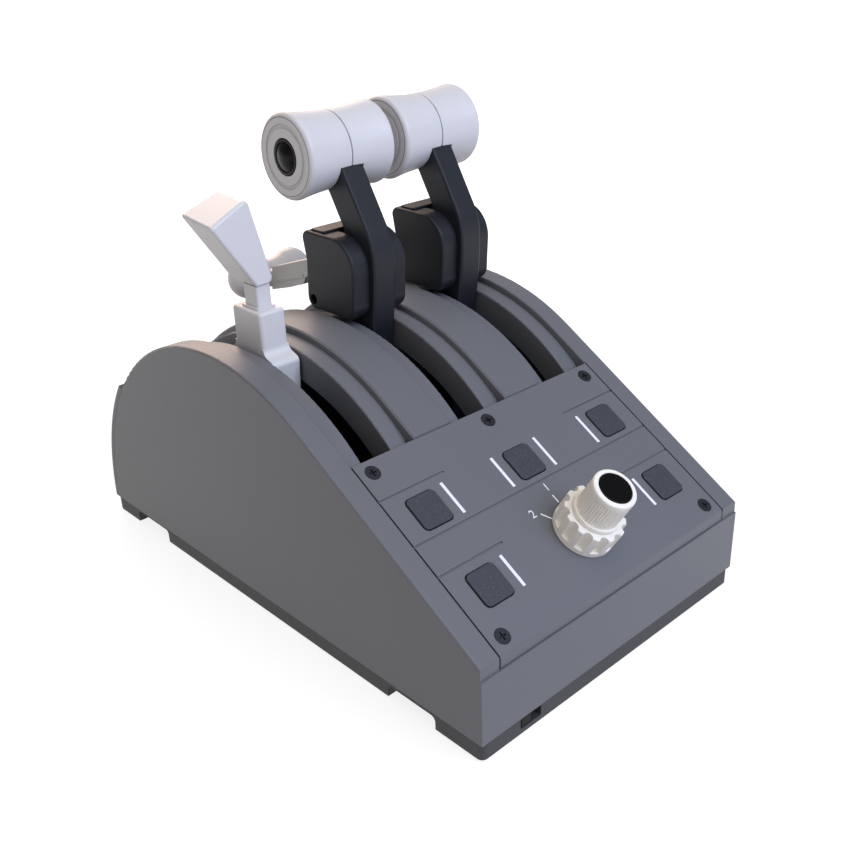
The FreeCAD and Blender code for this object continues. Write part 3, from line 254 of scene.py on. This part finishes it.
def printed_ink(name, colour):
    """Pad-printed ink: a thin opaque film, a little rough, with tiny thin places."""
    material, tree, shader, where = start(name)
    speck = add(tree, "ShaderNodeTexNoise", {
        "Vector": where, "Scale": 1 / (0.3 * MM), "Detail": 2.0}).outputs[0]
    two_tones(tree, shader, speck, shade(colour, 0.93), shade(colour, 1.0))
    uneven_gloss(tree, shader, speck, 0.45, 0.6)
    return material


def oxide_steel(name, colour):
    """Black oxide on pressed steel: dull, dark, with faint wear in the oxide."""
    material, tree, shader, where = start(name)
    wear = add(tree, "ShaderNodeTexNoise", {
        "Vector": where, "Scale": 1 / (0.9 * MM), "Detail": 4.0}).outputs[0]
    two_tones(tree, shader, wear, shade(colour, 0.8), shade(colour, 1.3))
    uneven_gloss(tree, shader, wear, 0.38, 0.55)
    relief(tree, shader, wear, 0.01)
    shader.inputs["Metallic"].default_value = 0.6
    return material


def turned_steel(name, colour, rough):
    """Ground steel bar: fine rings round the X axis break the highlight along it.

    The rings are 0.4 mm apart, coarser than real ones so that they show, and 8 mm long.
    """
    material, tree, shader, where = start(name)
    rings_per_metre = (2500, 120, 120)
    drawn = add(tree, "ShaderNodeMapping", {"Vector": where, "Scale": rings_per_metre}).outputs[0]
    rings = add(tree, "ShaderNodeTexNoise", {"Vector": drawn, "Scale": 1.0, "Detail": 2.0}).outputs[0]
    mottle(tree, shader, where, 12, shade(colour, 0.95), shade(colour, 1.05))
    uneven_gloss(tree, shader, rings, rough - 0.08, rough + 0.1)
    relief(tree, shader, rings, 0.004)
    shader.inputs["Metallic"].default_value = 1.0
    return material


def circuit_board(name):
    """Glass epoxy board under green solder mask; the copper tracks show through as a lighter web."""
    material, tree, shader, where = start(name)
    tracks = add(tree, "ShaderNodeTexBrick", {
        "Vector": where, "Scale": 1 / (8 * MM), "Mortar Size": 0.04, "Color1": linear("#0f4a2b"),
        "Color2": linear("#12522f"), "Mortar": linear("#1f7a45")})
    tree.links.new(tracks.outputs[0], shader.inputs["Base Color"])
    haze = add(tree, "ShaderNodeTexNoise", {"Vector": where, "Scale": 1 / (1.5 * MM)}).outputs[0]
    uneven_gloss(tree, shader, haze, 0.25, 0.4)
    return material


FINISHES = {}


def finishes():
    """Every finish of the quadrant by its own name, made once."""
    if FINISHES:
        return FINISHES
    tone = colours()
    FINISHES.update(
        grey_abs=moulded("moulded_grey_abs", tone.housing, 0.46, 0.55, 0.018, gloss=0.42),
        dark_abs=moulded("moulded_dark_abs", tone.tray, 0.6, 0.6, 0.025),
        lever_nylon=moulded(
            "moulded_charcoal_nylon", tone.lever, 0.48, 0.5, 0.012, edge_mm=0.35, gloss=0.27),
        white_abs=moulded("moulded_white_abs", tone.grip, **WHITE_ABS),
        grip_abs=grip_shell("capped_white_abs", tone.grip),
        knob_abs=moulded("moulded_ivory_abs", tone.knob, 0.4, 0.6, 0.008, edge_mm=0.2, drift=0.015),
        black_abs=moulded(
            "satin_black_abs", linear("#070708"), 0.3, 0.8, 0.003, edge_mm=0.15, gloss=0.12),
        rubber=moulded("pressed_black_rubber", linear("#191919"), 0.85, 0.8, 0.04),
        acetal=moulded("turned_white_acetal", linear("#d8d6cf"), 0.35, 0.9, 0.004),
        key_abs=pebbled("pebbled_dark_abs", tone.key),
        ink=printed_ink("pad_printed_white_ink", tone.ink),
        screw_steel=oxide_steel("black_oxide_steel", tone.screw),
        shaft_steel=turned_steel("ground_steel", linear("#a3a5a9"), 0.28),
        nickel=turned_steel("nickel_plated_magnet", linear("#b5b6b8"), 0.22),
        board=circuit_board("green_solder_mask"),
    )
    return FINISHES


def dress(finish, *names):
    """Gives CAD nodes one finish."""
    for name in names:
        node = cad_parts[name]
        node.data.materials.clear()
        node.data.materials.append(finishes()[finish])


# ---------------------------------------------------------------- pieces on the panel

def on_panel(x, along, out=0.0):
    """A point over the sloping panel, from its place across, up the slope and out of its face."""
    low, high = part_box("control_panel")
    slope = sizes().slope
    foot_z = high.z - sizes().panel_length * math.sin(slope)
    return Vector((x,
                   low.y + along * math.cos(slope) - out * math.sin(slope),
                   foot_z + along * math.sin(slope) + out * math.cos(slope)))


def new_piece(name, mesh, body, finish):
    """A piece of the scene that rides on a body and takes one of the quadrant's finishes by its name."""
    piece = bpy.data.objects.new(name, mesh)
    bpy.context.scene.collection.objects.link(piece)
    mesh.materials.clear()
    mesh.materials.append(finishes()[finish])
    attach(piece, body)
    return piece


def strip(bm, begin, end, width, height):
    """A printed stroke with its corners cut, between two points (x, along) of the panel."""
    way = (end - begin).normalized()
    side = Vector((-way.y, way.x))
    half = width / 2
    corner = width * CORNER_SHARE
    rim = []
    for tip, inward, hand in ((begin, way, -side), (end, -way, side)):
        rim += [tip + inward * corner + hand * half, tip + hand * (half - corner),
                tip - hand * (half - corner), tip + inward * corner - hand * half]
    low = [bm.verts.new(on_panel(p.x, p.y)) for p in rim]
    high = [bm.verts.new(on_panel(p.x, p.y, height)) for p in rim]
    count = len(rim)
    bm.faces.new(high)
    for i in range(count):
        bm.faces.new((low[i], low[(i + 1) % count], high[(i + 1) % count], high[i]))


def digit(name, text, x, along):
    """A plain printed digit that stands upright on the panel."""
    curve = bpy.data.curves.new(name, "FONT")
    curve.body = text
    curve.size = sizes().digit_height / CAPITAL_SHARE
    curve.align_x = "CENTER"
    curve.align_y = "CENTER"
    curve.extrude = sizes().ink_height
    holder = bpy.data.objects.new(name + "_curve", curve)
    bpy.context.scene.collection.objects.link(holder)
    mesh = bpy.data.meshes.new_from_object(holder.evaluated_get(bpy.context.evaluated_depsgraph_get()))
    bpy.data.objects.remove(holder)
    upright = Matrix.Rotation(sizes().slope, 4, "X")
    mesh.transform(Matrix.Translation(on_panel(x, along)) @ upright)
    new_piece(name, mesh, "base", "ink")


# ---------------------------------------------------------------- operators

class QUADRANT_OT_stage(bpy.types.Operator):
    """Makes the floor, the studio lights, the world and the camera"""
    bl_idname = "quadrant.stage"
    bl_label = "Stage"

    # The floor reaches this far each way, and lies this far below the feet, in metres.
    floor_reach = 14.0
    floor_drop = 0.0002
    # Each lamp's name, place, width in metres, watts and colour.
    lamps = (("soft_key", (0.2, -1.2, 1.0), 1.0, 16.5, "#d2deff"),
             ("warm_back", (0.34, 1.12, 0.76), 1.0, 14.0, "#ffe1cd"),
             ("soft_top", (-0.1, -0.5, 1.45), 1.6, 8.0, "#fff6ec"),
             ("left_fill", (-1.5, -0.35, 0.3), 1.5, 2.6, "#ffe9d4"))
    lamp_aim = (0, 0, 0.1)
    # The camera's lens in millimetres, its place in metres, and the directions that are right, up and
    # backward in its view.
    lens = 43.86
    camera_place = (-0.316387, -0.372578, 0.305136)
    right = (0.7279118, -0.68475508, -0.03542454)
    upward = (0.31932185, 0.29282155, 0.90127082)
    backward = (-0.6067767, -0.66735749, 0.43180552)

    def execute(self, context):
        scene = context.scene
        scene.view_settings.view_transform = "Standard"
        self.floor(scene)
        self.world(scene)
        for lamp in self.lamps:
            self.lamp(scene, *lamp)
        self.camera(scene)
        return {"FINISHED"}

    def floor(self, scene):
        """A wide sheet of studio paper, a hair below the feet."""
        mesh = bpy.data.meshes.new("studio_floor")
        bm = bmesh.new()
        bmesh.ops.create_grid(bm, x_segments=2, y_segments=2, size=self.floor_reach)
        bm.to_mesh(mesh)
        bm.free()
        floor = bpy.data.objects.new("studio_floor", mesh)
        scene.collection.objects.link(floor)
        floor.location.z = -self.floor_drop
        floor.data.materials.append(self.paper())

    def paper(self):
        """Matt white studio paper: seen as plain white, with a soft shadow close to the object."""
        material, tree, shader, where = start("white_studio_paper")
        fibres_per_metre = 900.0  # 1.1 mm each, coarser than real ones so that they show
        fibre = add(tree, "ShaderNodeTexNoise", {
            "Vector": where, "Scale": fibres_per_metre}).outputs[0]
        two_tones(tree, shader, fibre, linear("#c2c2c2"), linear("#c6c6c6"))
        shader.inputs["Roughness"].default_value = 0.9
        ray = add(tree, "ShaderNodeLightPath").outputs
        seen = add(tree, "ShaderNodeMath", {
            0: ray["Is Camera Ray"], 1: ray["Is Glossy Ray"]}, operation="MAXIMUM").outputs[0]
        looked_at = add(tree, "ShaderNodeMath", {
            0: seen, 1: ray["Is Transmission Ray"]}, operation="MAXIMUM").outputs[0]
        away = add(tree, "ShaderNodeVectorMath", {0: where}, operation="LENGTH").outputs["Value"]
        fade = add(tree, "ShaderNodeMapRange", {
            "Value": away, "From Min": 0.24, "From Max": 0.7, "To Min": 0.58, "To Max": 1.0},
            interpolation_type="SMOOTHSTEP").outputs[0]
        share = add(tree, "ShaderNodeMath", {0: looked_at, 1: fade}, operation="MULTIPLY").outputs[0]
        white = add(tree, "ShaderNodeEmission", {"Color": (1, 1, 1, 1), "Strength": 1.45}).outputs[0]
        mixed = add(tree, "ShaderNodeMixShader", {0: share, 1: shader.outputs[0], 2: white})
        tree.links.new(mixed.outputs[0], tree.nodes["Material Output"].inputs["Surface"])
        return material

    def world(self, scene):
        """White all round as seen, and a soft cool light on the object."""
        world = bpy.data.worlds.new("studio_air")
        scene.world = world
        world.use_nodes = True
        tree = world.node_tree
        tree.nodes.clear()
        ray = add(tree, "ShaderNodeLightPath").outputs
        looked_at = add(tree, "ShaderNodeMath", {
            0: ray["Is Camera Ray"], 1: ray["Is Transmission Ray"]}, operation="MAXIMUM").outputs[0]
        soft = add(tree, "ShaderNodeBackground", {
            "Color": linear("#eef0f5"), "Strength": 0.34}).outputs[0]
        white = add(tree, "ShaderNodeBackground", {"Color": (1, 1, 1, 1), "Strength": 1.0}).outputs[0]
        mixed = add(tree, "ShaderNodeMixShader", {0: looked_at, 1: soft, 2: white}).outputs[0]
        out = add(tree, "ShaderNodeOutputWorld")
        tree.links.new(mixed, out.inputs["Surface"])

    def lamp(self, scene, name, place, width, watts, code):
        """A round soft box that looks at the object."""
        light = bpy.data.lights.new(name, "AREA")
        light.shape = "DISK"
        light.size = width
        light.energy = watts
        light.color = linear(code)[:3]
        lamp = bpy.data.objects.new(name, light)
        scene.collection.objects.link(lamp)
        lamp.location = place
        lamp.rotation_mode = "QUATERNION"
        lamp.rotation_quaternion = (Vector(self.lamp_aim) - Vector(place)).to_track_quat("-Z", "Y")

    def camera(self, scene):
        """The camera that looks down on the quadrant from its left front."""
        camera = bpy.data.cameras.new("camera")
        camera.sensor_width = 36.0
        camera.lens = self.lens
        camera.clip_start = 0.01
        holder = bpy.data.objects.new("camera", camera)
        scene.collection.objects.link(holder)
        turn = Matrix((self.right, self.upward, self.backward)).transposed()
        holder.matrix_world = Matrix.Translation(self.camera_place) @ turn.to_4x4()
        scene.camera = holder


class QUADRANT_OT_housing(bpy.types.Operator):
    """Dresses the housing, rear cover, panel, slot trims, base tray, feet and mode switch"""
    bl_idname = "quadrant.housing"
    bl_label = "Housing"

    def execute(self, context):
        dress("grey_abs", "housing", "rear_cover", "control_panel")
        dress("grey_abs", "slot_trim_left", "slot_trim_middle", "slot_trim_right")
        dress("dark_abs", "base_tray")
        dress("rubber", "rubber_feet")
        dress("black_abs", "mode_switch", "mode_slider")
        return {"FINISHED"}


class QUADRANT_OT_panel(bpy.types.Operator):
    """Dresses the panel's screws and keys and prints its bars, ticks and digits"""
    bl_idname = "quadrant.panel"
    bl_label = "Control panel"

    # The ends of each printed stroke and the middle of each digit, in millimetres across the panel
    # and up its slope.
    bars = (((-46, 59.6), (-46, 76.8)), ((-14.4, 59.5), (-14.4, 76.8)), ((14.4, 59.5), (14.4, 76.8)),
            ((46, 59.6), (46, 76.8)), ((-46, 19), (-46, 35.5)), ((46, 19), (46, 35.5)))
    ticks = (((-0.3, 43.1), (-0.3, 47.6)), ((-9.3, 37.3), (-13.3, 42.5)))
    digits = (("1", 0.0, 52.0), ("2", -17.0, 44.0))

    def execute(self, context):
        dress("screw_steel", "panel_screws")
        dress("key_abs", *[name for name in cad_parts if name.startswith("panel_key")])
        self.strokes("printed_bars", self.bars, sizes().bar_width)
        self.strokes("printed_ticks", self.ticks, sizes().tick_width)
        for text, x, along in self.digits:
            digit("printed_digit_" + text, text, x * MM, along * MM)
        return {"FINISHED"}

    def strokes(self, name, ends, width):
        """One piece of printed strokes."""
        mesh = bpy.data.meshes.new(name)
        bm = bmesh.new()
        for begin, end in ends:
            strip(bm, Vector(begin) * MM, Vector(end) * MM, width, sizes().ink_height)
        bmesh.ops.recalc_face_normals(bm, faces=bm.faces)
        bm.to_mesh(mesh)
        bm.free()
        new_piece(name, mesh, "base", "ink")


class QUADRANT_OT_knob(bpy.types.Operator):
    """Dresses the double knob"""
    bl_idname = "quadrant.knob"
    bl_label = "Double knob"

    def execute(self, context):
        dress("knob_abs", "selector_ring", "dial_knob")
        dress("black_abs", "dial_cap")
        return {"FINISHED"}


class QUADRANT_OT_throttles(bpy.types.Operator):
    """Dresses the throttle and reverser levers, their pins and hub magnets"""
    bl_idname = "quadrant.throttles"
    bl_label = "Throttle levers"

    def execute(self, context):
        for number in (1, 2):
            lever = f"throttle_{number}_"
            dress("lever_nylon", lever + "arm", lever + "pod_left", lever + "pod_right", lever + "latch")
            dress("grip_abs", lever + "grip_left", lever + "grip_right")
            dress("black_abs", lever + "thumb_button")
            dress("white_abs", f"reverser_{number}_bar")
            dress("white_abs", f"reverser_{number}_tongue")
            dress("screw_steel", f"reverser_{number}_pin")
            dress("nickel", lever + "magnet")
        return {"FINISHED"}


class QUADRANT_OT_speed_brake(bpy.types.Operator):
    """Makes the speed brake's head and dresses its stem, arm and hub magnet"""
    bl_idname = "quadrant.speed_brake"
    bl_label = "Speed brake lever"

    # The head's corners in millimetres, seen along its lean: across, to the rear and up.
    bottom = ((-4.9, 0.0, -2.0), (4.5, 0.0, -5.0), (4.5, 21.0, -5.0), (-4.9, 21.0, -2.0))
    top = ((-12.8, 3.1, 33.3), (10.2, 3.1, 35.9), (12.6, 26.6, 36.4), (-11.2, 29.4, 35.2))
    foot = (-60.0, 15.3, 162.9)
    lean = math.radians(19.5)

    def execute(self, context):
        dress("white_abs", "brake_stem", "brake_head")
        self.head()
        dress("dark_abs", "brake_arm")
        dress("nickel", "brake_magnet")
        return {"FINISHED"}

    def head(self):
        """The wedge-shaped head with its soft corners, wider at the top and softest at its right."""
        bm = bmesh.new()
        low = [bm.verts.new(Vector(corner) * MM) for corner in self.bottom]
        high = [bm.verts.new(Vector(corner) * MM) for corner in self.top]
        bm.faces.new(high)
        bm.faces.new(low[::-1])
        for i in range(4):
            bm.faces.new((low[i], low[(i + 1) % 4], high[(i + 1) % 4], high[i]))
        right = ({low[1], low[2]}, {high[1], high[2]})
        soft = [edge for edge in bm.edges if set(edge.verts) in right]
        bmesh.ops.bevel(
            bm, geom=soft, offset=sizes().head_corner, segments=6, profile=0.5, affect="EDGES")
        bmesh.ops.recalc_face_normals(bm, faces=bm.faces)
        for face in bm.faces:
            face.smooth = True
        mesh = bpy.data.meshes.new("brake_head_shell")
        bm.to_mesh(mesh)
        bm.free()
        leaning = Matrix.Rotation(-self.lean, 4, "Y")
        mesh.transform(Matrix.Translation(Vector(self.foot) * MM) @ leaning)
        piece = new_piece("brake_head_shell", mesh, "brake", "white_abs")
        edges = piece.modifiers.new("soft edges", "BEVEL")
        edges.width = sizes().head_edge
        edges.segments = 5
        edges.limit_method = "ANGLE"
        edges.angle_limit = math.radians(35)
        edges.harden_normals = True
        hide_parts("brake_head")


class QUADRANT_OT_insides(bpy.types.Operator):
    """Dresses the shaft, its carriers, the boards and their parts"""
    bl_idname = "quadrant.insides"
    bl_label = "Insides"

    def execute(self, context):
        dress("shaft_steel", "pivot_shaft", "usb_socket")
        dress("dark_abs", "bracket_left", "bracket_right")
        dress("acetal", "hub_spacers")
        dress("board", "panel_board", "main_board", "sensor_boards")
        dress("black_abs", "panel_switches", "encoder")
        return {"FINISHED"}


STEPS = (QUADRANT_OT_stage, QUADRANT_OT_housing, QUADRANT_OT_panel, QUADRANT_OT_knob,
         QUADRANT_OT_throttles, QUADRANT_OT_speed_brake, QUADRANT_OT_insides)


class QUADRANT_PT_panel(bpy.types.Panel):
    """Lists the quadrant's sizes, colours and steps"""
    bl_idname = "QUADRANT_PT_panel"
    bl_label = "Throttle quadrant"
    bl_space_type = "VIEW_3D"
    bl_region_type = "UI"
    bl_category = "Quadrant"

    def draw(self, context):
        layout = self.layout
        for group in (context.scene.quadrant_sizes, context.scene.quadrant_colours):
            for name in group.__annotations__:
                layout.prop(group, name)
        for step in STEPS:
            layout.operator(step.bl_idname)


CLASSES = (QUADRANT_PG_colours, QUADRANT_PG_sizes) + STEPS + (QUADRANT_PT_panel,)


def register():
    for item in CLASSES:
        bpy.utils.register_class(item)
    bpy.types.Scene.quadrant_colours = bpy.props.PointerProperty(type=QUADRANT_PG_colours)
    bpy.types.Scene.quadrant_sizes = bpy.props.PointerProperty(type=QUADRANT_PG_sizes)


def unregister():
    del bpy.types.Scene.quadrant_sizes
    del bpy.types.Scene.quadrant_colours
    for item in reversed(CLASSES):
        bpy.utils.unregister_class(item)


def main():
    register()
    for step in STEPS:
        group, name = step.bl_idname.split(".")
        getattr(getattr(bpy.ops, group), name)()


if __name__ == "__main__":
    main()
